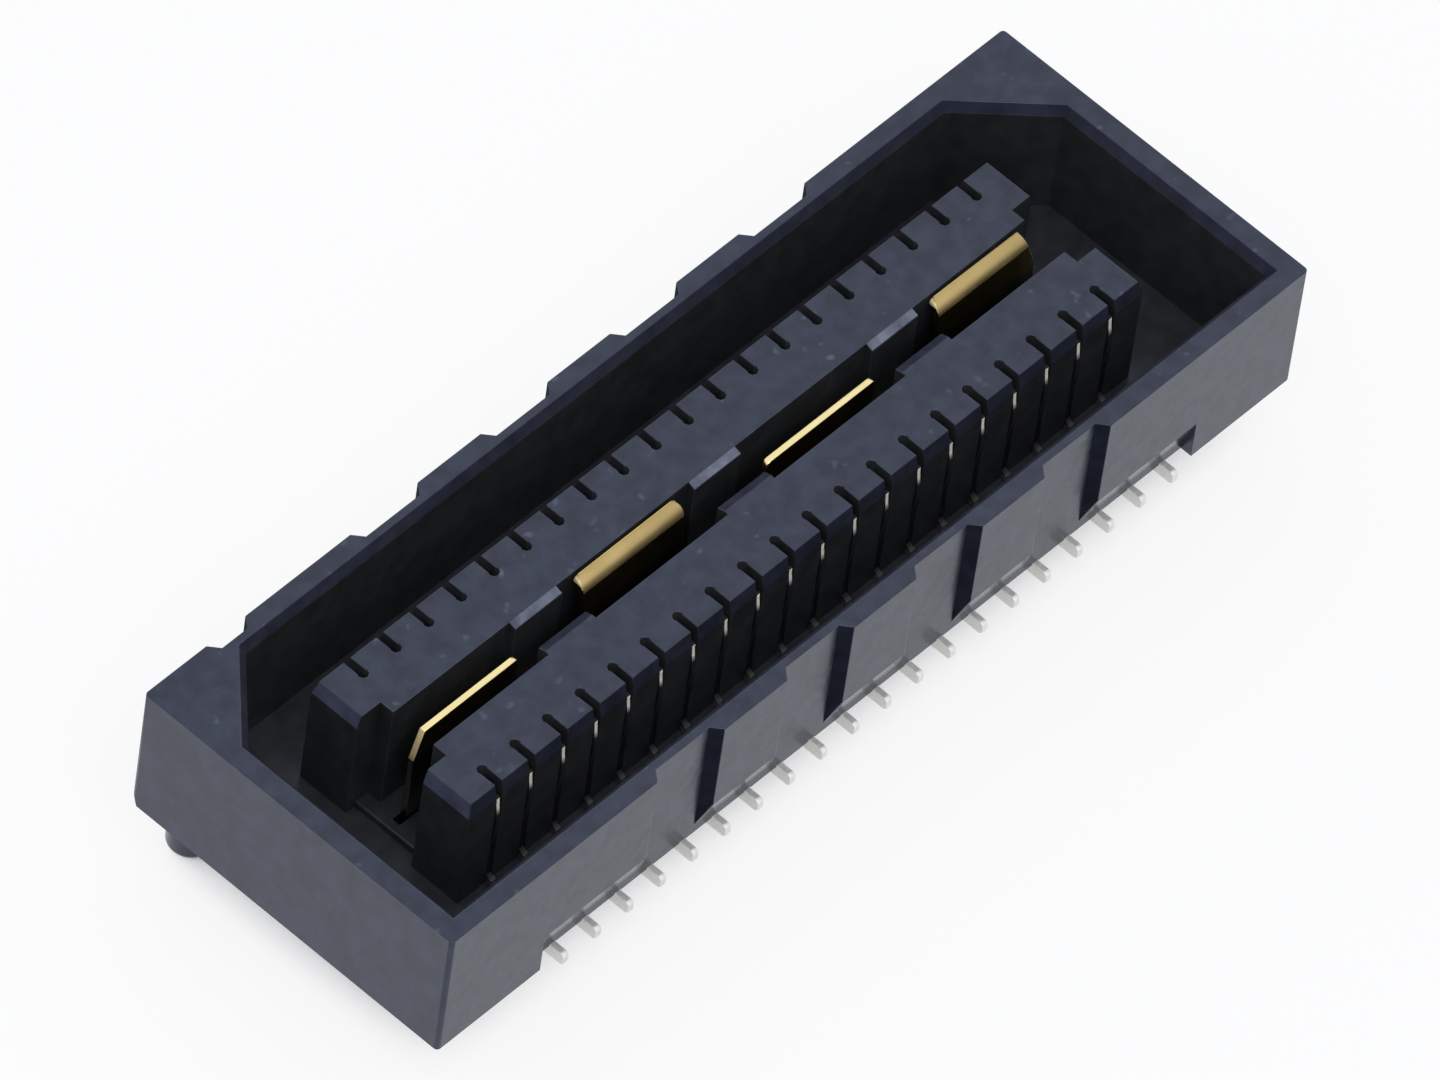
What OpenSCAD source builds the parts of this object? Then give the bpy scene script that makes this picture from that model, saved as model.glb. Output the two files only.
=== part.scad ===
// Board to board socket connector for surface mounting: one moulded housing,
// two rows of stamped contacts and a ground plane that stands between the rows.
// Millimetres. The origin lies on the board's surface under the middle of the
// connector. X runs along the rows, Y across them and Z away from the board.
// The rear of the connector, with the two keyed corners, is on the +Y side.

/* [Contact rows] */
// Contacts in each row
contacts_per_row = 20; // [8:1:28]
// Spacing of the contacts along a row
pitch = 0.80; // [0.60:0.05:1.20]
// Thickness of the strip that the contacts are stamped from
contact_t = 0.13; // [0.08:0.01:0.30]
// Gap between a contact and each wall of its slot
slot_clear = 0.015; // [0.01:0.005:0.05]

/* [Contact] */
// How far the solder tails stand out from the foot of the long walls
tail_out = 0.33; // [0.20:0.01:1.00]
// Height of a solder tail
tail_h = 0.28; // [0.12:0.01:0.30]
// Rounding of the tail's end
tail_round = 0.09; // [0.02:0.01:0.11]
// How far the root's outer face stands out from the face of its island
root_front = 0.115; // [0.05:0.005:0.16]
// Height of the root above the floor of the cavity
root_rise = 0.08; // [0.02:0.01:0.20]
// How far the beam starts behind the root's outer face
shoulder_in = 0.14; // [0.05:0.01:0.20]
// Height of the sloping shoulder between the root and the beam
shoulder_rise = 0.08; // [0.04:0.01:0.20]
// Thickness of the beam at its root
beam_root_t = 0.32; // [0.20:0.01:0.40]
// Thickness of the beam at its tip
beam_tip_t = 0.14; // [0.08:0.01:0.20]
// How far the beam's waist lies behind the face of its island
waist_back = 0.05; // [0.02:0.01:0.14]
// Height of the waist above the cavity's floor
waist_rise = 0.69; // [0.50:0.01:0.90]
// How far the contact point stands out from the face of its island
crest_out = 0.02; // [0.005:0.005:0.15]
// Depth of the contact point below the top of its island
crest_drop = 1.00; // [0.80:0.01:1.30]
// How far the beam's tip is drawn in from the contact point
tip_in = 0.06; // [0.02:0.01:0.30]
// Depth of the beam's tip below the top of its island
tip_drop = 0.37; // [0.20:0.01:0.60]

/* [Housing] */
// Distance from the last contact to the outside of the end wall
end_run = 3.035; // [2.60:0.005:4.00]
// Width over the thick stretches of the long walls
body_w = 7.155; // [7.00:0.005:8.60]
// Height of the housing's top above the board
body_top = 3.17; // [2.90:0.01:4.50]
// Thickness of the end walls
end_wall_t = 0.535; // [0.35:0.005:0.80]
// Thickness of the long walls where they are thick
side_wall_t = 0.49; // [0.40:0.01:0.70]
// Gap between the board and the floor
floor_gap = 0.26; // [0.24:0.01:0.40]
// Thickness of the floor
floor_t = 0.30; // [0.20:0.01:0.50]
// How far the feet at the ends stand down below the floor
foot_drop = 0.07; // [0.02:0.01:0.20]
// Distance from the last contact to the foot
foot_run = 0.52; // [0.25:0.01:0.90]
// How far the rear bottom edge of a foot is cut back
foot_bevel_in = 0.13; // [0.05:0.01:0.20]
// Height of the bevel on the rear bottom edge of a foot
foot_bevel_h = 0.30; // [0.10:0.01:0.60]
// Width of the lead-in bevel round the mouth of the cavity
lead_w = 0.14; // [0.05:0.01:0.20]
// Depth of the lead-in bevel
lead_h = 0.18; // [0.05:0.01:0.40]
// Leg of the two keyed corners at the rear of the cavity
key_leg = 1.45; // [0.50:0.05:2.00]

/* [Long walls] */
// Contacts between one wall recess and the next
recess_every = 4; // [3:1:6]
// Depth of the recesses in the outside of the long walls
recess_d = 0.208; // [0.05:0.002:0.30]
// Length of a recess at the outside of the wall
recess_l = 1.65; // [0.80:0.05:1.90]
// How far each end of a recess slopes in towards its bottom
recess_slope = 0.17; // [0:0.01:0.30]
// Length of the single notch near the left end of the rear wall
notch_l = 0.95; // [0.60:0.05:1.20]
// Distance from the last contact to the middle of that notch
notch_run = 1.06; // [0.80:0.02:1.40]
// Height of the thin strip along the bottom of the long walls
pad_foot_h = 0.20; // [0.05:0.01:0.40]
// Height of the taper between that strip and the thick stretches
pad_taper_h = 0.62; // [0.20:0.01:1.20]

/* [Contact islands] */
// Half the gap between the islands
island_gap = 0.46; // [0.40:0.01:0.60]
// How far the inner face steps back at the narrow ends of the islands
island_step = 0.30; // [0.10:0.01:0.50]
// Distance of an island's outer face from the centre plane
island_out = 1.845; // [1.75:0.005:2.00]
// Width of the steep bevel along the top of the outer face and the ends
island_bevel = 0.08; // [0.04:0.01:0.16]
// Height of that bevel
island_bevel_h = 0.30; // [0.10:0.01:0.40]
// Distance from the last contact to the step in the inner face
island_step_run = 0.23; // [0.15:0.01:0.30]
// Distance from the last contact to the end of the island
island_run = 0.76; // [0.60:0.01:1.20]
// Depth of a contact slot from the island's outer face to the middle of its head
slot_depth = 0.46; // [0.44:0.005:0.60]
// How far a contact slot opens the floor in front of its contact
slot_front = 0.06; // [0.03:0.005:0.35]
// Diameter of the round head at the inner end of a contact slot
slot_head_d = 0.20; // [0.18:0.01:0.36]
// Height of the sill between the islands above the cavity's floor
sill_h = 0.13; // [0.05:0.01:0.30]
// Distance from the last contact to the end of the sill
sill_run = 0.55; // [0.40:0.01:0.80]

/* [Bridges] */
// Length of each bridge that narrows the gap between the islands
bridge_l = 1.16; // [0.60:0.02:1.60]
// Spacing of the bridges
bridge_pitch = 4.42; // [3.60:0.02:6.00]
// How far the front bridges stand out from their island
bridge_front_out = 0.24; // [0.10:0.01:0.26]
// How far the rear bridges stand out from their island
bridge_rear_out = 0.16; // [0.06:0.01:0.26]
// Width of the bevel along the top of a bridge, no wider than the bridge stands out
bridge_bevel = 0.16; // [0.02:0.01:0.20]
// Depth of that bevel
bridge_bevel_h = 0.06; // [0.02:0.01:0.20]

/* [Ground plane] */
// Thickness of the ground plane's strip
plane_t = 0.13; // [0.08:0.01:0.20]
// Gap between the strip and each wall of its slot
plane_clear = 0.02; // [0.01:0.005:0.05]
// Gap between each end of the strip and the end of its slot
plane_end_clear = 0.16; // [0.05:0.01:0.25]
// Distance from the last contact to the end of the ground plane
plane_run = 0.18; // [0.05:0.01:0.30]
// Thickness of the housing under the strip
plane_seat = 0.10; // [0.05:0.01:0.15]
// Height of the strip that joins the springs
strip_h = 0.50; // [0.40:0.01:0.80]
// Gap in X between a straight spring and the next bridge
spring_gap = 0.28; // [0.20:0.02:0.60]
// Gap in X between a rolled spring and the next bridge
roll_gap = 0.38; // [0.20:0.02:0.60]
// Shortest stretch of strip that carries a spring of its own
spring_min = 1.50; // [1.00:0.10:2.00]
// Depth of the straight springs below the top of the housing
spring_drop = 0.25; // [0.10:0.01:0.60]
// Depth of the rolled springs below the top of the housing
roll_drop = 0.06; // [0.02:0.01:0.40]
// Outer radius of the rolled edge
roll_r = 0.27; // [0.20:0.01:0.32]
// Gap between the rolled edge and the rear island
roll_clear = 0.04; // [0.02:0.01:0.10]
// Length of the slope at each end of the ground plane
end_slope_l = 0.20; // [0.05:0.01:0.40]
// Height of the slope at each end of the ground plane
end_slope_h = 0.66; // [0.20:0.01:1.00]
// Rounding of the springs' other corners
spring_round = 0.10; // [0.04:0.01:0.20]
// Length of each solder foot of the ground plane
foot_l = 1.00; // [0.40:0.05:1.40]

/* [Locating pins] */
// Diameter of the two locating pins
pin_d = 0.86; // [0.60:0.01:1.00]
// Length of the pins below the board's surface
pin_l = 0.89; // [0.50:0.01:1.50]
// Rounding of a pin's end
pin_round = 0.16; // [0.05:0.01:0.25]
// Distance from the outside of the end wall to a pin's axis
pin_from_end = 0.785; // [0.55:0.005:1.20]
// Distance from the outside of the rear wall to a pin's axis
pin_from_rear = 0.75; // [0.58:0.01:1.50]

/* [Hidden] */
// How far a cut runs past the face that it opens
over = 0.5;
// How far a raised shape is sunk into the shape that carries it
weld = 0.05;
// Steps in each bow of a contact's beam
bow_steps = 6;
// Steps in each rounded corner of a profile
round_steps = 4;
// Sides of the round head of a contact slot
head_sides = 8;

row_half = (contacts_per_row - 1) * pitch / 2;
body_half_l = row_half + end_run;
body_half_w = body_w / 2;
recess_y = body_half_w - recess_d;
cavity_half_l = body_half_l - end_wall_t;
cavity_half_w = body_half_w - side_wall_t;
floor_z = floor_gap + floor_t;
foot_gap = floor_gap - foot_drop;
foot_x = row_half + foot_run;
pad_foot_z = floor_gap + pad_foot_h;
pad_taper_z = pad_foot_z + pad_taper_h;
recess_count = max(0, floor(contacts_per_row / recess_every) - 1);
recess_pitch = recess_every * pitch;

slot_w = contact_t + 2 * slot_clear;
slot_in = island_out - slot_depth;
root_out = island_out + root_front;
slot_out = root_out + slot_front;
groove_z = tail_h + slot_clear;
root_in = slot_in + slot_clear;
root_top = floor_z + root_rise;
beam_z = root_top + shoulder_rise;
beam_out = root_out - shoulder_in;
tail_reach = recess_y + tail_out;
waist_z = floor_z + waist_rise;
crest_s = island_out + crest_out;
crest_z = body_top - crest_drop;
tip_z = body_top - tip_drop;

island_end_gap = island_gap + island_step;
island_step_x = row_half + island_step_run;
island_x = row_half + island_run;
sill_x = row_half + sill_run;
sill_z = floor_z + sill_h;

plane_half_l = row_half + plane_run;
plane_z = floor_gap + plane_seat;
strip_top = plane_z + strip_h;
spring_top = body_top - spring_drop;
roll_top = body_top - roll_drop;
roll_y = island_gap - roll_clear;
bridge_room = plane_half_l - spring_min - bridge_l / 2;
bridge_count = max(0, floor(2 * bridge_room / bridge_pitch) + 1);

pin_x = body_half_l - pin_from_end;
pin_y = body_half_w - pin_from_rear;

ROWS = ["front", "rear"];
function contact_name(row, i) = str(row, "_contact_", i < 10 ? "0" : "", i);
function contact_x(i) = (i - 1) * pitch - row_half;
function recess_x(i) = (i - (recess_count - 1) / 2) * recess_pitch;
function bridge_x(i) = (i - (bridge_count - 1) / 2) * bridge_pitch;

// Smooth step from a to b as u runs from 0 to 1
function ease(a, b, u) = a + (b - a) * (1 - cos(180 * u)) / 2;
// Points of a round corner of radius r about centre c, from angle a to angle b
function corner(c, r, a, b) =
    [for (k = [0:round_steps]) let (t = a + (b - a) * k / round_steps) c + r * [cos(t), sin(t)]];

// A (y, z) outline drawn out along X
module along_x(x0, x1) {
    translate([x0, 0, 0]) rotate([90, 0, 90]) linear_extrude(x1 - x0) children();
}

// An (x, z) outline drawn out along Y
module along_y(y0, y1) {
    translate([0, y1, 0]) rotate([90, 0, 0]) linear_extrude(y1 - y0) children();
}

// A shape and its mirror image on the other side of the centre plane
module both_sides() {
    children();
    mirror([0, 1, 0]) children();
}

// Cross-section of the block between the feet, with tapered bottoms to its walls
module middle_section() {
    right = [
        [recess_y, floor_gap],
        [recess_y, pad_foot_z],
        [body_half_w, pad_taper_z],
        [body_half_w, body_top]
    ];
    polygon(concat(right, [for (k = [len(right) - 1:-1:0]) [-right[k].x, right[k].y]]));
}

// Cross-section of the block at the feet, bevelled along the rear bottom edge
module foot_section() {
    polygon([
        [-body_half_w, foot_gap],
        [body_half_w - foot_bevel_in, foot_gap],
        [body_half_w, foot_gap + foot_bevel_h],
        [body_half_w, body_top],
        [-body_half_w, body_top]
    ]);
}

// Cut for one recess in the outside of the rear wall
module wall_recess(x, length) {
    outer = length / 2 + recess_slope * over / recess_d;
    inner = length / 2 - recess_slope;
    translate([x, 0, 0]) linear_extrude(body_top + over)
        polygon([
            [-inner, recess_y],
            [inner, recess_y],
            [outer, body_half_w + over],
            [-outer, body_half_w + over]
        ]);
}

// The cavity, square at the front corners and keyed at the rear ones
module cavity() {
    translate([0, 0, floor_z]) linear_extrude(body_top - floor_z + over)
        polygon([
            [-cavity_half_l, -cavity_half_w],
            [cavity_half_l, -cavity_half_w],
            [cavity_half_l, cavity_half_w - key_leg],
            [cavity_half_l - key_leg, cavity_half_w],
            [key_leg - cavity_half_l, cavity_half_w],
            [-cavity_half_l, cavity_half_w - key_leg]
        ]);
}

// Outline with one sloping side, which crosses half width w at the bottom of the lead-in bevel
module lead_outline(w, reach) {
    slope = lead_w / lead_h;
    polygon([
        [-reach, body_top - lead_h - over],
        [w - slope * over, body_top - lead_h - over],
        [w + slope * (lead_h + over), body_top + over],
        [-reach, body_top + over]
    ]);
}

// The lead-in bevel round the mouth: what lies inside all six sloping planes
module lead_in() {
    key_d = (cavity_half_l + cavity_half_w - key_leg) / sqrt(2);
    reach = 2 * body_half_l;
    intersection() {
        along_x(-reach, reach) intersection() {
            lead_outline(cavity_half_w, reach);
            mirror([1, 0]) lead_outline(cavity_half_w, reach);
        }
        along_y(-reach, reach) intersection() {
            lead_outline(cavity_half_l, reach);
            mirror([1, 0]) lead_outline(cavity_half_l, reach);
        }
        rotate([0, 0, 45]) along_y(-reach, reach) lead_outline(key_d, reach);
        rotate([0, 0, 135]) along_y(-reach, reach) lead_outline(key_d, reach);
    }
}

// One contact island, on the rear side, bevelled along its outer top edges
module island() {
    intersection() {
        translate([0, 0, floor_gap]) linear_extrude(body_top - floor_gap)
            polygon([
                [-island_step_x, island_gap],
                [island_step_x, island_gap],
                [island_step_x, island_end_gap],
                [island_x, island_end_gap],
                [island_x, island_out],
                [-island_x, island_out],
                [-island_x, island_end_gap],
                [-island_step_x, island_end_gap]
            ]);
        along_x(-island_x, island_x)
            polygon([
                [0, 0],
                [island_out, 0],
                [island_out, body_top - island_bevel_h],
                [island_out - island_bevel, body_top],
                [0, body_top]
            ]);
        along_y(0, island_out)
            polygon([
                [-island_x, 0],
                [island_x, 0],
                [island_x, body_top - island_bevel_h],
                [island_x - island_bevel, body_top],
                [island_bevel - island_x, body_top],
                [-island_x, body_top - island_bevel_h]
            ]);
    }
}

// One bridge on the rear side that stands out from its island towards the centre plane
module bridge(x, out) {
    bevel = min(bridge_bevel, out);
    y = island_gap - out;
    along_x(x - bridge_l / 2, x + bridge_l / 2)
        polygon([
            [y, floor_gap],
            [y, body_top - bridge_bevel_h],
            [y + bevel, body_top],
            [island_gap + weld, body_top],
            [island_gap + weld, floor_gap]
        ]);
}

// Way for one contact on the rear side: its slot with the head, and the groove over its tail
module contact_way() {
    along_x(-slot_w / 2, slot_w / 2)
        polygon([
            [slot_in, -over],
            [tail_reach + over, -over],
            [tail_reach + over, groove_z],
            [slot_out, groove_z],
            [slot_out, body_top + over],
            [slot_in, body_top + over]
        ]);
    translate([0, slot_in, floor_z]) cylinder(d = slot_head_d, h = body_top, $fn = head_sides);
}

// Slot for the ground plane's strip, with a way down for each solder foot
module plane_way() {
    half_t = plane_t / 2 + plane_clear;
    half_l = plane_half_l + plane_end_clear;
    half_foot = foot_l / 2 + plane_clear;
    translate([-half_l, -half_t, plane_z]) cube([2 * half_l, 2 * half_t, body_top]);
    for (i = [0:1:bridge_count - 1])
        translate([bridge_x(i) - half_foot, -half_t, 0]) cube([2 * half_foot, 2 * half_t, body_top]);
}

// A locating pin with a rounded end
module locating_pin() {
    rise = floor_z - weld;
    translate([0, 0, -pin_l]) rotate_extrude($fn = 64) {
        square([pin_d / 2 - pin_round, pin_l + rise]);
        translate([0, pin_round]) square([pin_d / 2, pin_l + rise - pin_round]);
        translate([pin_d / 2 - pin_round, pin_round]) intersection() {
            circle(pin_round, $fn = 32);
            translate([0, -pin_round]) square(pin_round);
        }
    }
}

module housing() {
    color([0.16, 0.17, 0.20]) difference() {
        union() {
            difference() {
                union() {
                    along_x(-foot_x, foot_x) middle_section();
                    along_x(-body_half_l, -foot_x) foot_section();
                    along_x(foot_x, body_half_l) foot_section();
                }
                both_sides() for (i = [0:1:recess_count - 1]) wall_recess(recess_x(i), recess_l);
                wall_recess(-row_half - notch_run, notch_l);
                cavity();
                lead_in();
            }
            both_sides() island();
            translate([-sill_x, -island_end_gap - weld, floor_gap])
                cube([2 * sill_x, 2 * (island_end_gap + weld), sill_z - floor_gap]);
            for (i = [0:1:bridge_count - 1]) {
                bridge(bridge_x(i), bridge_rear_out);
                mirror([0, 1, 0]) bridge(bridge_x(i), bridge_front_out);
            }
            for (end = [-1, 1]) translate([end * pin_x, pin_y, 0]) locating_pin();
        }
        both_sides() for (i = [1:contacts_per_row]) translate([contact_x(i), 0, 0]) contact_way();
        plane_way();
    }
}

// Outline of a contact: distance from the centre plane against height
module contact_outline() {
    heights = [beam_z, waist_z, crest_z, tip_z];
    faces = [beam_out, island_out - waist_back, crest_s, crest_s - tip_in];
    thicks = [beam_root_t, ease(beam_root_t, beam_tip_t, 0.5), beam_tip_t, beam_tip_t];
    bows = len(heights) - 2;
    beam = [
        for (k = [0:bows], j = [0:bow_steps - (k < bows ? 1 : 0)]) let (u = j / bow_steps)
            [
                ease(faces[k], faces[k + 1], u),
                heights[k] + (heights[k + 1] - heights[k]) * u,
                ease(thicks[k], thicks[k + 1], u)
            ]
    ];
    tail_end = [tail_reach - tail_round, tail_round];
    tail_top = [tail_reach - tail_round, tail_h - tail_round];
    polygon(concat(
        [[root_in, 0]],
        corner(tail_end, tail_round, -90, 0),
        corner(tail_top, tail_round, 0, 90),
        [[root_out, tail_h], [root_out, root_top]],
        [for (p = beam) [p.x, p.y]],
        [for (k = [len(beam) - 1:-1:0]) [beam[k].x - beam[k].z, beam[k].y]],
        [[root_in, root_top]]
    ));
}

module contact(row, i) {
    side = row == "front" ? 1 : 0;
    color([0.80, 0.79, 0.74]) translate([contact_x(i), 0, 0]) mirror([0, side, 0])
        along_x(-contact_t / 2, contact_t / 2) contact_outline();
}

// Cross-section of a rolled spring: it leans to the rear and its edge rolls over
module rolled_section() {
    centre = [roll_y, roll_top - roll_r];
    polygon([
        [-plane_t / 2, plane_z],
        [plane_t / 2, plane_z],
        [plane_t / 2, strip_top],
        centre - [roll_r - plane_t, 0],
        centre - [roll_r, 0],
        [-plane_t / 2, strip_top]
    ]);
    translate(centre) intersection() {
        difference() {
            circle(roll_r, $fn = 64);
            circle(roll_r - plane_t, $fn = 64);
        }
        translate([-roll_r, 0]) square(roll_r);
    }
}

// Outline of one spring from the front, sloped at an end of the ground plane
module spring_outline(x0, x1, top) {
    first = x0 <= -plane_half_l;
    last = x1 >= plane_half_l;
    left = first
        ? [[x0 + end_slope_l, top], [x0, top - end_slope_h]]
        : corner([x0 + spring_round, top - spring_round], spring_round, 90, 180);
    right = last
        ? [[x1, top - end_slope_h], [x1 - end_slope_l, top]]
        : corner([x1 - spring_round, top - spring_round], spring_round, 0, 90);
    polygon(concat([[x0, plane_z]], [[x1, plane_z]], right, left));
}

module ground_plane() {
    springs = bridge_count + 1;
    color([0.80, 0.68, 0.36]) {
        along_y(-plane_t / 2, plane_t / 2) translate([-plane_half_l, plane_z])
            square([2 * plane_half_l, strip_h]);
        for (i = [0:springs - 1]) {
            straight = i % 2 == 0;
            reach = bridge_l / 2 + (straight ? spring_gap : roll_gap);
            x0 = i == 0 ? -plane_half_l : bridge_x(i - 1) + reach;
            x1 = i == springs - 1 ? plane_half_l : bridge_x(i) - reach;
            if (straight)
                along_y(-plane_t / 2, plane_t / 2) spring_outline(x0, x1, spring_top);
            else
                intersection() {
                    along_x(x0, x1) rolled_section();
                    along_y(-island_gap, island_gap) spring_outline(x0, x1, roll_top);
                }
        }
        for (i = [0:1:bridge_count - 1])
            translate([bridge_x(i) - foot_l / 2, -plane_t / 2, 0]) cube([foot_l, plane_t, strip_top]);
    }
}

housing();
ground_plane();
for (row = ROWS, i = [1:contacts_per_row])
    contact(row, i);
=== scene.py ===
import math

import bmesh
import bpy
from mathutils import Matrix, Vector


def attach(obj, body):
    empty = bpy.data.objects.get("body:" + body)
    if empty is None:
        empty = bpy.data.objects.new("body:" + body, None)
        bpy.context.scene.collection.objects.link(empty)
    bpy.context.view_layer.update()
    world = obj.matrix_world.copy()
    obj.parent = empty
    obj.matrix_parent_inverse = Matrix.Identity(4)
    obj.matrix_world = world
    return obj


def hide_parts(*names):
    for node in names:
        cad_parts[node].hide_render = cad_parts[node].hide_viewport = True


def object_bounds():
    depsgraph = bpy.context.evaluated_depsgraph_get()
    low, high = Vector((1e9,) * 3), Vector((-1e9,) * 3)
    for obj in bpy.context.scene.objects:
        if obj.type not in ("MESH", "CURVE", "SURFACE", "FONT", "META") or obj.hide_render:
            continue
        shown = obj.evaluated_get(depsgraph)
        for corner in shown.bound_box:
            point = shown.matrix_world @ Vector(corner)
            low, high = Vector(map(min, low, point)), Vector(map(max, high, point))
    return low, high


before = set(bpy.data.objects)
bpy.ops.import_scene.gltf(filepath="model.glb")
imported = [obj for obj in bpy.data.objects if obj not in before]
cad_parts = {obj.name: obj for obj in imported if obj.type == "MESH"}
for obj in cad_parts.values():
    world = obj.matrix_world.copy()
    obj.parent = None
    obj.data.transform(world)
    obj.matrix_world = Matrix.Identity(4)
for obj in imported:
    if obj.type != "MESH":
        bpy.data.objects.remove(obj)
cad_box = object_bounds()

# Housing
# One injection moulding in black liquid crystal polymer (LCP) filled with glass fibre: the walls, floor,
# contact islands, bridges, feet and locating pins are shot together, so it has no seam. The tool leaves
# its outer edges slightly rounded and its faces with the fine grain of spark erosion.
MM = 0.001
SAME_POINT = 0.0002 * MM
FLAT = math.radians(0.5)
SHARP = math.radians(25)


def solid_faces(name):
    """The faces of a CAD solid, with the triangles of each flat face joined."""
    shape = bmesh.new()
    shape.from_mesh(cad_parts[name].data)
    bmesh.ops.remove_doubles(shape, verts=shape.verts, dist=SAME_POINT)
    bmesh.ops.dissolve_limit(shape, angle_limit=FLAT, verts=shape.verts, edges=shape.edges)
    return shape


def round_edges(shape, radius, steps, chosen):
    """Rounds the chosen ones of a shape's outer edges."""
    outer = [e for e in shape.edges if e.is_manifold and e.is_convex and e.calc_face_angle() > SHARP]
    bmesh.ops.bevel(
        shape, geom=[e for e in outer if chosen(e)], offset=radius, offset_type="OFFSET",
        affect="EDGES", segments=steps, profile=0.5, clamp_overlap=False,
    )


# Faces narrower than this, such as those of the rounded edges, are shaded smooth
FLAT_WIDTH = 0.09 * MM
SMOOTHEST_BEND = math.radians(50)


def width(face):
    """How wide a face is, measured across its longest edge."""
    return face.calc_area() / max(e.calc_length() for e in face.edges)


def stand_in(name, shape, materials, finish):
    """Makes a shape into the piece seen in place of a CAD solid; finish names the material of a face."""
    bmesh.ops.remove_doubles(shape, verts=shape.verts, dist=SAME_POINT)
    finishes = list(materials)
    narrow = []
    for face in shape.faces:
        face.material_index = finishes.index(finish(face))
        narrow.append(width(face) < FLAT_WIDTH)
    mesh = bpy.data.meshes.new(name + "_rounded")
    shape.to_mesh(mesh)
    shape.free()
    for material in materials.values():
        mesh.materials.append(material)
    # The normals that came with the CAD solid don't fit the rounded edges
    mesh.attributes.remove(mesh.attributes["custom_normal"])
    mesh.set_sharp_from_angle(angle=SMOOTHEST_BEND)
    mesh.polygons.foreach_set("use_smooth", narrow)
    piece = bpy.data.objects.new(name + "_rounded", mesh)
    bpy.context.scene.collection.objects.link(piece)
    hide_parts(name)
    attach(piece, "root")


def linear(hex_colour):
    """Linear RGBA of an sRGB hex colour such as #1f2229."""
    shares = [int(hex_colour[i:i + 2], 16) / 255 for i in (1, 3, 5)]
    return [s / 12.92 if s <= 0.04045 else ((s + 0.055) / 1.055) ** 2.4 for s in shares] + [1.0]


def empty_tree(owner):
    """The node tree of a material or world, with nothing in it."""
    owner.use_nodes = True
    owner.node_tree.nodes.clear()
    return owner.node_tree


def add(tree, kind, inputs=None, **settings):
    """Adds a node with its settings, and gives its inputs a value or another node's output."""
    made = tree.nodes.new(kind)
    for name, value in settings.items():
        setattr(made, name, value)
    for name, value in (inputs or {}).items():
        if isinstance(value, bpy.types.NodeSocket):
            tree.links.new(value, made.inputs[name])
        else:
            made.inputs[name].default_value = value
    return made


low, high = cad_box
RIM_Z = 3.17 * MM
# Painted glints: light specks on the tops of the walls and islands
GLINT_BAND_DEPTH = 0.05 * MM
GLINT_SIZE = 0.3 * MM
GLINT_COLOUR = "#4d5562"
MOTTLE_SIZE = 0.4 * MM
PATCH_SIZE = 0.25 * MM
# The real grain is about a fifth of this size, and is drawn as coarse as it needs to show
GRAIN_SIZE = 0.06 * MM
GRAIN_DEPTH = 0.006 * MM
LCP_IOR = 1.52
COLD_SHEEN = "#d9e2ff"


def moulded_lcp(name, dark, light, smoothest, roughest, shine):
    """Moulded glass-filled LCP: near black with a cold blue sheen, faintly mottled, with painted glints at
    its top.
    """
    material = bpy.data.materials.new(name)
    tree = empty_tree(material)
    place = add(tree, "ShaderNodeTexCoord").outputs["Object"]
    clouds = add(tree, "ShaderNodeTexNoise", {"Vector": place, "Scale": 1 / MOTTLE_SIZE, "Detail": 3.0})
    mottle = add(tree, "ShaderNodeMapRange", {
        "Value": clouds.outputs["Fac"], "From Min": 0.35, "From Max": 0.65,
    })
    resin = add(tree, "ShaderNodeMix", {
        "Factor": mottle.outputs["Result"], "A": linear(dark), "B": linear(light),
    }, data_type="RGBA")
    height = add(tree, "ShaderNodeSeparateXYZ", {"Vector": place}).outputs["Z"]
    top = add(tree, "ShaderNodeMapRange", {
        "Value": height, "From Min": RIM_Z - GLINT_BAND_DEPTH, "From Max": RIM_Z,
    })
    # Painted glints: light specks on the top faces and their upper edges
    glint_noise = add(tree, "ShaderNodeTexNoise", {"Vector": place, "Scale": 1 / GLINT_SIZE, "Detail": 1.0})
    glints = add(tree, "ShaderNodeMapRange", {
        "Value": glint_noise.outputs["Fac"], "From Min": 0.70, "From Max": 0.84,
    })
    glinting = add(tree, "ShaderNodeMath", {
        0: glints.outputs["Result"], 1: top.outputs["Result"],
    }, operation="MULTIPLY")
    colour = add(tree, "ShaderNodeMix", {
        "Factor": glinting.outputs["Value"], "A": resin.outputs["Result"], "B": linear(GLINT_COLOUR),
    }, data_type="RGBA")
    patches = add(tree, "ShaderNodeTexNoise", {"Vector": place, "Scale": 1 / PATCH_SIZE, "Detail": 2.0})
    sheen = add(tree, "ShaderNodeMapRange", {
        "Value": patches.outputs["Fac"], "From Min": 0.3, "From Max": 0.7,
        "To Min": smoothest, "To Max": roughest,
    })
    grain = add(tree, "ShaderNodeTexNoise", {"Vector": place, "Scale": 1 / GRAIN_SIZE, "Detail": 2.0})
    relief = add(tree, "ShaderNodeBump", {
        "Height": grain.outputs["Fac"], "Strength": 0.08, "Distance": GRAIN_DEPTH,
    })
    skin = add(tree, "ShaderNodeBsdfPrincipled", {
        "Base Color": colour.outputs["Result"],
        "Roughness": sheen.outputs["Result"],
        "Normal": relief.outputs["Normal"],
        "IOR": LCP_IOR,
        "Specular IOR Level": shine,
        "Specular Tint": linear(COLD_SHEEN),
    })
    add(tree, "ShaderNodeOutputMaterial", {"Surface": skin.outputs["BSDF"]})
    return material


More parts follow.
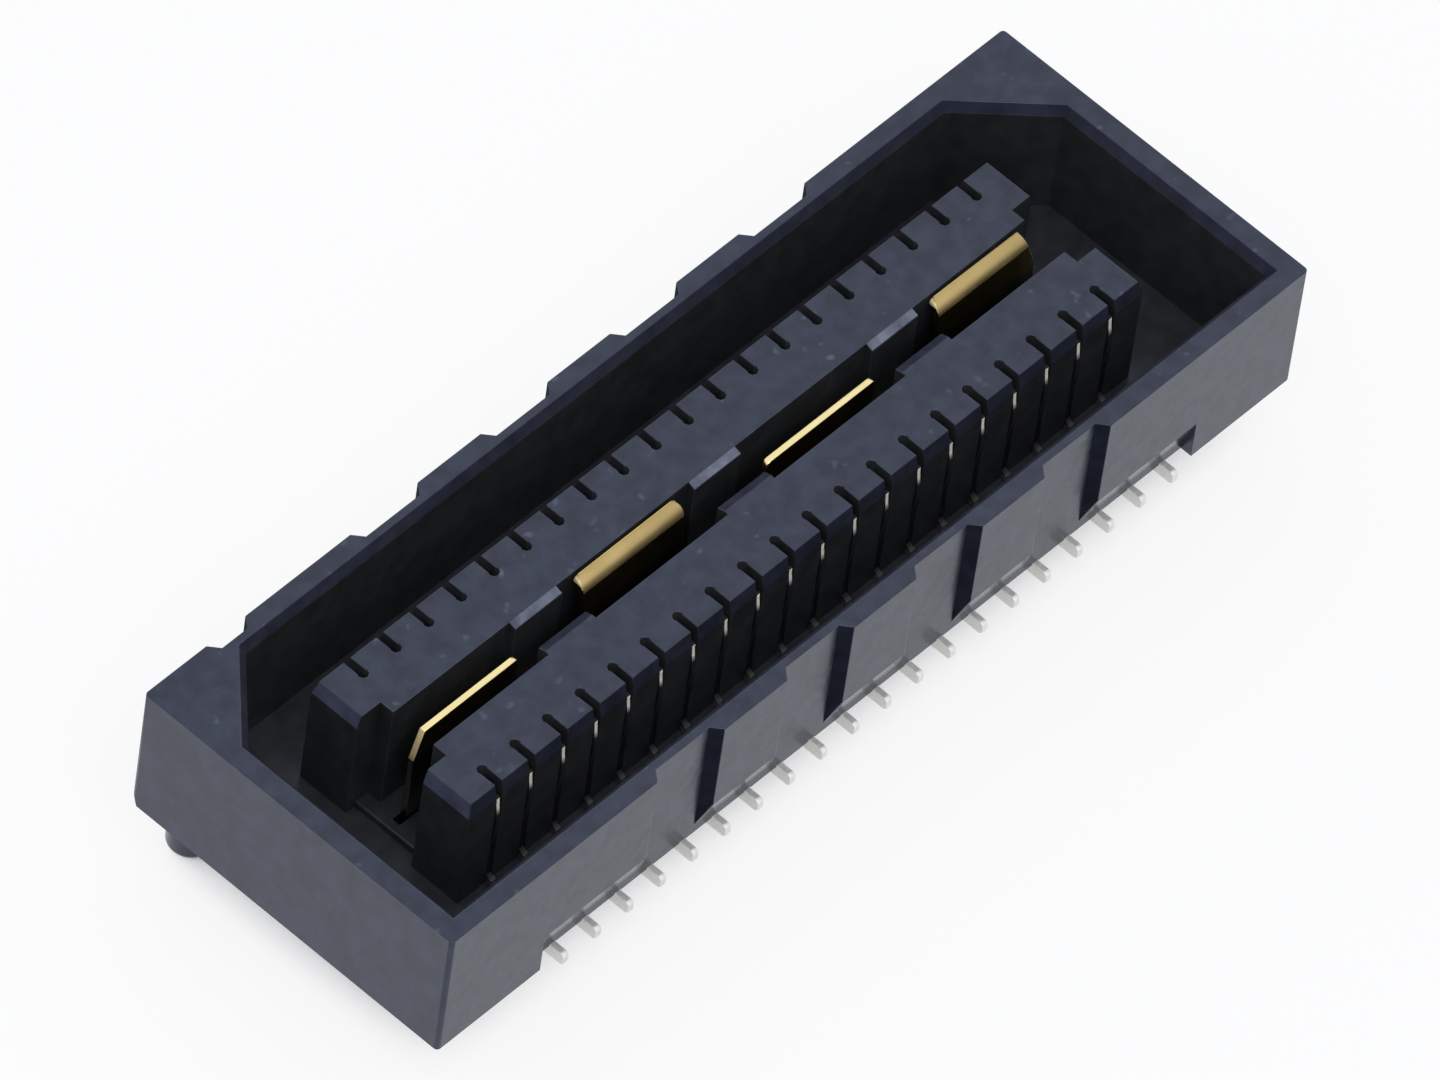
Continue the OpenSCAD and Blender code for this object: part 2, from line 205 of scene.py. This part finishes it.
HOUSING_EDGE = 0.016 * MM
HOUSING_CORNER = 0.08 * MM
SILL_EDGE = 0.05 * MM
END_WALL_X = 0.99 * high.x
LONG_WALL_Y = 3.3 * MM
SILL_END_X = 8.1 * MM
SILL_TOP = 0.69 * MM
FLOOR_UNDERSIDE = 0.30 * MM


def at_outer_corner(edge):
    """The four upright edges at the ends of the housing."""
    a, b = (v.co for v in edge.verts)
    corner = abs(a.x) > END_WALL_X and abs(a.y) > LONG_WALL_Y
    return corner and (a - b).xy.length < SAME_POINT


def at_sill_end(edge):
    """The outer edge at each end of the sill that the ground plane stands in."""
    a, b = (v.co for v in edge.verts)
    at_end = abs(a.x) > SILL_END_X and abs(a.x - b.x) < SAME_POINT
    return at_end and max(abs(a.z - SILL_TOP), abs(b.z - SILL_TOP)) < HOUSING_EDGE


def above_the_floor(edge):
    """All but the edges of the grooves and foot ways under the floor, which are finer than the rounding."""
    return min(v.co.z for v in edge.verts) > FLOOR_UNDERSIDE


RECESSES_X = 0.97 * high.x
BEVELS_Z = 2.8 * MM
BEVEL_WIDTH = 0.03 * MM
GATE_Y = 0.5 * MM
CAVITY_X = 10.3 * MM
CAVITY_Y = 3.2 * MM
CAVITY_FLOOR = 0.55 * MM
# How much of a face's normal points along the axis in question
SLANT_ALONG = 0.6
SLANT_ACROSS = 0.3
STEEPEST_BEVEL = 0.15
FLATTEST_BEVEL = 0.98
GATE_BEVEL = 0.85
ISLAND_END_BEVEL = 0.9
STEEPEST_TOP = 0.5


def housing_finish(face):
    """Sorts the faces by how the tool made them, and picks those given painted light or shade."""
    middle = face.calc_center_median()
    normal = face.normal
    slanted = abs(normal.x) > SLANT_ALONG and abs(normal.y) > SLANT_ACROSS
    if slanted and abs(middle.y) > LONG_WALL_Y and abs(middle.x) < RECESSES_X:
        return "recess end"
    bevelled = STEEPEST_BEVEL < normal.z < FLATTEST_BEVEL and width(face) > BEVEL_WIDTH
    if bevelled and middle.z > BEVELS_Z:
        if normal.z > GATE_BEVEL and 0 < middle.y < GATE_Y:
            return "gate on a bridge"
        return "island end bevel" if abs(normal.x) > ISLAND_END_BEVEL else "long bevel"
    inside = abs(middle.x) < CAVITY_X and abs(middle.y) < CAVITY_Y and middle.z > CAVITY_FLOOR
    below_tops = middle.z < BEVELS_Z or abs(normal.z) < STEEPEST_TOP
    return "cavity" if inside and below_tops else "plain"


EDGE_STEPS = 2
CORNER_STEPS = 4
shape = solid_faces("housing")
round_edges(shape, HOUSING_CORNER, CORNER_STEPS, at_outer_corner)
round_edges(shape, SILL_EDGE, CORNER_STEPS, at_sill_end)
round_edges(shape, HOUSING_EDGE, EDGE_STEPS, above_the_floor)
stand_in("housing", shape, {
    # Off the finely eroded tool: near black with a satin sheen
    "plain": moulded_lcp("moulded glass-filled LCP", "#151a26", "#272c3a", 0.20, 0.30, 0.64),
    # Painted shade: the recess ends are given a darker black with hardly any sheen
    "recess end": moulded_lcp("LCP with painted shade at recess ends", "#14171f", "#1c202b", 0.80, 0.95, 0.08),
    # Torn off the runner, so that fibres lie bare: a dry, pale grey
    "gate on a bridge": moulded_lcp("LCP torn at gate", "#474c58", "#757a86", 0.50, 0.70, 0.5),
    # Painted light on the bevels along the long sides: flat, and a little lighter than black
    "long bevel": moulded_lcp("LCP with painted light on long bevels", "#20222d", "#2b2d39", 0.60, 0.80, 0.12),
    # Painted light on the bevels that face the ends: flat blue grey
    "island end bevel": moulded_lcp("LCP with painted light on end bevels", "#393d4d", "#494d5e", 0.60, 0.80, 0.12),
    # Off the rougher core: a duller sheen; its lighter, neutral black is painted light in the cavity
    "cavity": moulded_lcp("LCP from spark-eroded core with painted cavity light", "#272829", "#323334", 0.30, 0.40, 0.4),
}, housing_finish)

# Ground plane
# One strip of phosphor bronze, stamped into four springs on a common rail, two of them rolled over
# at the top. It is plated with nickel all over and dipped in gold along the springs' tops, and pushed
# into the housing's middle slot from below.
NICKEL_TOP = 2.15 * MM
GOLD_BOTTOM = 2.40 * MM
BRIGHT_NICKEL = "#8d8b86"
CLOUD_SIZE = 0.5 * MM
# Real rolling lines are far finer than this, and are drawn as coarse as they need to show
LINE_SPACING = 0.05 * MM
LINE_DEPTH = 0.002 * MM
DRAWN_OUT_ALONG_X = (0.08, 1.0, 1.0)


def gold_over_nickel(name, dark, light, smoothest, roughest):
    """Gold plate on the springs' tops that fades to grey nickel below; bright, with faint rolling lines."""
    material = bpy.data.materials.new(name)
    tree = empty_tree(material)
    place = add(tree, "ShaderNodeTexCoord").outputs["Object"]
    height = add(tree, "ShaderNodeSeparateXYZ", {"Vector": place}).outputs["Z"]
    along = add(tree, "ShaderNodeMapping", {"Vector": place, "Scale": DRAWN_OUT_ALONG_X})
    lines = add(tree, "ShaderNodeTexNoise", {
        "Vector": along.outputs["Vector"], "Scale": 1 / LINE_SPACING, "Detail": 3.0,
    })
    clouds = add(tree, "ShaderNodeTexNoise", {"Vector": place, "Scale": 1 / CLOUD_SIZE, "Detail": 2.0})
    gold = add(tree, "ShaderNodeMix", {
        "Factor": clouds.outputs["Fac"], "A": linear(dark), "B": linear(light),
    }, data_type="RGBA")
    dipped = add(tree, "ShaderNodeMapRange", {
        "Value": height, "From Min": NICKEL_TOP, "From Max": GOLD_BOTTOM,
    })
    colour = add(tree, "ShaderNodeMix", {
        "Factor": dipped.outputs["Result"], "A": linear(BRIGHT_NICKEL), "B": gold.outputs["Result"],
    }, data_type="RGBA")
    satin = add(tree, "ShaderNodeMapRange", {
        "Value": lines.outputs["Fac"], "From Min": 0.3, "From Max": 0.7,
        "To Min": smoothest, "To Max": roughest,
    })
    relief = add(tree, "ShaderNodeBump", {
        "Height": lines.outputs["Fac"], "Strength": 0.10, "Distance": LINE_DEPTH,
    })
    skin = add(tree, "ShaderNodeBsdfPrincipled", {
        "Base Color": colour.outputs["Result"],
        "Metallic": 1.0,
        "Roughness": satin.outputs["Result"],
        "Normal": relief.outputs["Normal"],
    })
    add(tree, "ShaderNodeOutputMaterial", {"Surface": skin.outputs["BSDF"]})
    return material


STRIP_HALF = 0.07 * MM
STRAIGHT_TOPS_X = 7.57 * MM
FACES_UP = 0.15
FACES_END = 0.5


def plane_finish(face):
    """Sorts the faces by what stamping and rolling over did to them, for painted light, shade and highlight.
    """
    middle = face.calc_center_median()
    if face.normal.z < FACES_UP or middle.z < NICKEL_TOP:
        return "strip"
    if abs(middle.y) < STRIP_HALF and abs(middle.x) < STRAIGHT_TOPS_X:
        return "top edge"
    return "sheared end" if abs(face.normal.x) > FACES_END else "rolled over"


PLANE_EDGE = 0.02 * MM
shape = solid_faces("ground_plane")
round_edges(shape, PLANE_EDGE, EDGE_STEPS, lambda e: True)
stand_in("ground_plane", shape, {
    # As rolled: bright, so that it mirrors the dark slot
    "strip": gold_over_nickel("gold over nickel on rolled bronze strip", "#cbb26b", "#dec986", 0.16, 0.24),
    # Sheared: rough; its paler gold is painted light, so that it is light from any side
    "sheared end": gold_over_nickel(
        "gold over nickel with painted light on sheared ends", "#e6d6a2", "#f4e6b8", 0.60, 0.75,
    ),
    # Stretched over a bend: satin; its deeper gold is painted shade on the rolled faces
    "rolled over": gold_over_nickel(
        "gold over nickel on bent strip with painted shade", "#ae9966", "#c4af7c", 0.50, 0.60,
    ),
    # Painted highlight: the straight springs' top edges are given the brightest gold
    "top edge": gold_over_nickel(
        "gold over nickel with painted highlight on top edges", "#efdb9c", "#fdedb8", 0.22, 0.30,
    ),
}, plane_finish)

# Contacts
# Each is blanked edgewise from phosphor bronze strip, so its sheared edge is the side that touches the
# mate. The beam is nickel with a pale gold flash on its contact point and tip, and the tail is matte tin.
# They are pressed up into the islands' slots from below, and their tails lie flat on the board.
TIN_TOP = 0.30 * MM
NICKEL_BOTTOM = 0.70 * MM
# Painted light and shade on the beam: a near white flash at its top, near black nickel below it
BEAM_NICKEL_TOP = 2.36 * MM
FLASH_BOTTOM = 2.52 * MM
DARK_TIN = "#dadad6"
LIGHT_TIN = "#f0f0ec"
NICKEL_WITH_PAINTED_SHADE = "#37383a"
FLASH_WITH_PAINTED_LIGHT = "#fbf8f0"
# Real tin crystals are far finer than this, and are drawn as coarse as they need to show
CRYSTAL_SIZE = 0.05 * MM
CRYSTAL_DEPTH = 0.004 * MM


def plated_contact(name, top_colour, smoothest, roughest):
    """Matte tin on the tail, nickel with painted shade up the beam and the finish of its top, on blanked
    strip.
    """
    material = bpy.data.materials.new(name)
    tree = empty_tree(material)
    place = add(tree, "ShaderNodeTexCoord").outputs["Object"]
    height = add(tree, "ShaderNodeSeparateXYZ", {"Vector": place}).outputs["Z"]
    beam = add(tree, "ShaderNodeMapRange", {"Value": height, "From Min": TIN_TOP, "From Max": NICKEL_BOTTOM})
    flash = add(tree, "ShaderNodeMapRange", {
        "Value": height, "From Min": BEAM_NICKEL_TOP, "From Max": FLASH_BOTTOM,
    })
    crystals = add(tree, "ShaderNodeTexNoise", {"Vector": place, "Scale": 1 / CRYSTAL_SIZE, "Detail": 2.0})
    tin = add(tree, "ShaderNodeMix", {
        "Factor": crystals.outputs["Fac"], "A": linear(DARK_TIN), "B": linear(LIGHT_TIN),
    }, data_type="RGBA")
    lower = add(tree, "ShaderNodeMix", {
        "Factor": beam.outputs["Result"], "A": tin.outputs["Result"], "B": linear(NICKEL_WITH_PAINTED_SHADE),
    }, data_type="RGBA")
    plating = add(tree, "ShaderNodeMix", {
        "Factor": flash.outputs["Result"], "A": lower.outputs["Result"], "B": linear(top_colour),
    }, data_type="RGBA")
    matte = add(tree, "ShaderNodeMapRange", {
        "Value": crystals.outputs["Fac"], "From Min": 0.3, "From Max": 0.7,
        "To Min": smoothest, "To Max": roughest,
    })
    relief = add(tree, "ShaderNodeBump", {
        "Height": crystals.outputs["Fac"], "Strength": 0.3, "Distance": CRYSTAL_DEPTH,
    })
    skin = add(tree, "ShaderNodeBsdfPrincipled", {
        "Base Color": plating.outputs["Result"],
        "Metallic": 1.0,
        "Roughness": matte.outputs["Result"],
        "Normal": relief.outputs["Normal"],
    })
    add(tree, "ShaderNodeOutputMaterial", {"Surface": skin.outputs["BSDF"]})
    return material


ROOT_TOP = 0.75 * MM
FACES_MATE = 0.94


def on_beam(edge):
    """The edges above the root, which are coined rounder than those of the tail."""
    return min(v.co.z for v in edge.verts) > ROOT_TOP


def contact_finish(face):
    """Finds the flat of the sheared edge that touches the mate, which alone is flashed with gold."""
    outward = math.copysign(face.normal.y, face.normal.y * face.calc_center_median().y)
    return "sheared edge" if outward > FACES_MATE else "blanked"


TAIL_EDGE = 0.014 * MM
BEAM_EDGE = 0.03 * MM
contact_plating = {
    # The strip's own faces and rounded edges: nickel painted dark for the shade in the slots
    "blanked": plated_contact("tin and nickel with painted shade on blanked bronze", NICKEL_WITH_PAINTED_SHADE, 0.55, 0.70),
    # Rough from the shear: its flash, painted near white as light, shows as a pale dash from any side
    "sheared edge": plated_contact(
        "tin, nickel and gold flash on sheared bronze edge", FLASH_WITH_PAINTED_LIGHT, 0.80, 0.95,
    ),
}
for name in sorted(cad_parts):
    if "_contact_" in name:
        shape = solid_faces(name)
        round_edges(shape, BEAM_EDGE, EDGE_STEPS, on_beam)
        round_edges(shape, TAIL_EDGE, EDGE_STEPS, lambda e: not on_beam(e))
        stand_in(name, shape, contact_plating, contact_finish)

# Floor
# A plain sweep of white paper that the locating pins stand on. It shows as white to the camera and in
# reflections too, with a soft shadow of the part, and with painted shade only where the part closes it in
# from above.
FLOOR_HALF = 500 * MM
SHADOW_SHARE = 0.15
SHADE_REACH = 4.0 * MM
CLOSED_IN = 0.10
IN_THE_OPEN = 0.35


def seen_rays(tree):
    """1 on rays from the camera and on those that metal or glass turns, and 0 on those that bring light."""
    path = add(tree, "ShaderNodeLightPath")
    turned = add(tree, "ShaderNodeMath", {
        0: path.outputs["Is Glossy Ray"], 1: path.outputs["Is Transmission Ray"],
    }, operation="MAXIMUM")
    seen = add(tree, "ShaderNodeMath", {
        0: path.outputs["Is Camera Ray"], 1: turned.outputs["Value"],
    }, operation="MAXIMUM")
    return seen.outputs["Value"]


floor_mesh = bpy.data.meshes.new("floor")
corners = [(-1, -1), (1, -1), (1, 1), (-1, 1)]
floor_mesh.from_pydata([(x * FLOOR_HALF, y * FLOOR_HALF, low.z) for x, y in corners], [], [(0, 1, 2, 3)])
floor = bpy.data.objects.new("floor", floor_mesh)
bpy.context.scene.collection.objects.link(floor)

# Uncoated paper: an even, matte white
paper = bpy.data.materials.new("white paper sweep")
tree = empty_tree(paper)
matte_white = add(tree, "ShaderNodeBsdfDiffuse", {"Color": linear("#f2f2f2")})
plain_white = add(tree, "ShaderNodeEmission", {"Color": linear("#ffffff"), "Strength": 1.0})
# Painted shade: ambient occlusion dims the plain white where the part closes the floor in
openness = add(tree, "ShaderNodeAmbientOcclusion", {"Distance": SHADE_REACH}, samples=6)
lit = add(tree, "ShaderNodeMapRange", {
    "Value": openness.outputs["AO"], "From Min": CLOSED_IN, "From Max": IN_THE_OPEN,
    "To Max": 1 - SHADOW_SHARE,
})
share = add(tree, "ShaderNodeMath", {0: seen_rays(tree), 1: lit.outputs["Result"]}, operation="MULTIPLY")
sweep = add(tree, "ShaderNodeMixShader", {
    "Fac": share.outputs["Value"], 1: matte_white.outputs["BSDF"], 2: plain_white.outputs["Emission"],
})
add(tree, "ShaderNodeOutputMaterial", {"Surface": sweep.outputs["Shader"]})
floor_mesh.materials.append(paper)

# Studio
# A soft white canopy overhead, with a pale backdrop behind the part and a dim room in front of it. They
# light the part as they are, and show as plain white to the camera and in reflections.
CANOPY_STRENGTH = 1.05
BACKDROP_STRENGTH = 1.0
ROOM_STRENGTH = 0.08
COOL_WHITE = "#f3f6ff"
world = bpy.data.worlds.new("soft studio")
bpy.context.scene.world = world
tree = empty_tree(world)
direction = add(tree, "ShaderNodeTexCoord").outputs["Generated"]
parts = add(tree, "ShaderNodeSeparateXYZ", {"Vector": direction})
sides = add(tree, "ShaderNodeMapRange", {
    "Value": parts.outputs["Y"], "From Min": -0.4, "From Max": 0.9,
    "To Min": ROOM_STRENGTH, "To Max": BACKDROP_STRENGTH,
})
canopy = add(tree, "ShaderNodeMapRange", {
    "Value": parts.outputs["Z"], "From Min": 0.30, "From Max": 0.85,
}, interpolation_type="SMOOTHSTEP")
strength = add(tree, "ShaderNodeMix", {
    "Factor": canopy.outputs["Result"], "A": sides.outputs["Result"], "B": CANOPY_STRENGTH,
}, data_type="FLOAT")
dome = add(tree, "ShaderNodeBackground", {
    "Color": linear(COOL_WHITE), "Strength": strength.outputs["Result"],
})
backdrop = add(tree, "ShaderNodeBackground", {"Color": linear("#ffffff"), "Strength": 1.0})
around = add(tree, "ShaderNodeMixShader", {
    "Fac": seen_rays(tree), 1: dome.outputs["Background"], 2: backdrop.outputs["Background"],
})
add(tree, "ShaderNodeOutputWorld", {"Surface": around.outputs["Shader"]})

# Softbox
# A square lamp behind a diffuser, hung above the left end and the front wall. It models the part's
# forms and casts the soft shadow on the floor.
SOFTBOX_WIDTH = 250 * MM
SOFTBOX_DISTANCE = 300 * MM
SOFTBOX_WATTS = 0.30
SOFTBOX_SIDE = Vector((-0.35, -0.45, 0.82)).normalized()
softbox = bpy.data.lights.new("overhead softbox", "AREA")
softbox.size = SOFTBOX_WIDTH
softbox.energy = SOFTBOX_WATTS
softbox.color = linear(COOL_WHITE)[:3]
overhead = bpy.data.objects.new("overhead softbox", softbox)
bpy.context.scene.collection.objects.link(overhead)
overhead.location = SOFTBOX_SIDE * SOFTBOX_DISTANCE
overhead.rotation_euler = SOFTBOX_SIDE.to_track_quat("Z", "Y").to_euler()

# Camera
# A long lens looks down on the left end and the front wall, turned a little about its own axis. Its
# place and its scale were fitted to the housing's edges in the photograph.
AZIMUTH = math.radians(-53.57)
ELEVATION = math.radians(51.53)
ROLL = math.radians(8.67)
DISTANCE = 474.5 * MM
AIM = Vector((0, 0, 0.19 * MM))
AIM_RIGHT_PX = -4.9
AIM_DOWN_PX = 48.0
PIXELS_PER_MM = 58.846
IMAGE_WIDTH_PX = 1440
SENSOR_WIDTH_MM = 36.0
lens = bpy.data.cameras.new("camera")
lens.sensor_width = SENSOR_WIDTH_MM
lens.lens = PIXELS_PER_MM * (DISTANCE / MM) * SENSOR_WIDTH_MM / IMAGE_WIDTH_PX
camera = bpy.data.objects.new("camera", lens)
bpy.context.scene.collection.objects.link(camera)
back = Vector((
    math.sin(AZIMUTH) * math.cos(ELEVATION),
    -math.cos(AZIMUTH) * math.cos(ELEVATION),
    math.sin(ELEVATION),
))
level = Vector((math.cos(AZIMUTH), math.sin(AZIMUTH), 0))
right = math.cos(ROLL) * level + math.sin(ROLL) * back.cross(level)
up = back.cross(right)
aside = right * (-AIM_RIGHT_PX / PIXELS_PER_MM * MM) + up * (AIM_DOWN_PX / PIXELS_PER_MM * MM)
turn = Matrix((right, up, back)).transposed().to_4x4()
camera.matrix_world = Matrix.Translation(AIM + back * DISTANCE + aside) @ turn
bpy.context.scene.camera = camera
bpy.context.scene.view_settings.view_transform = "Standard"
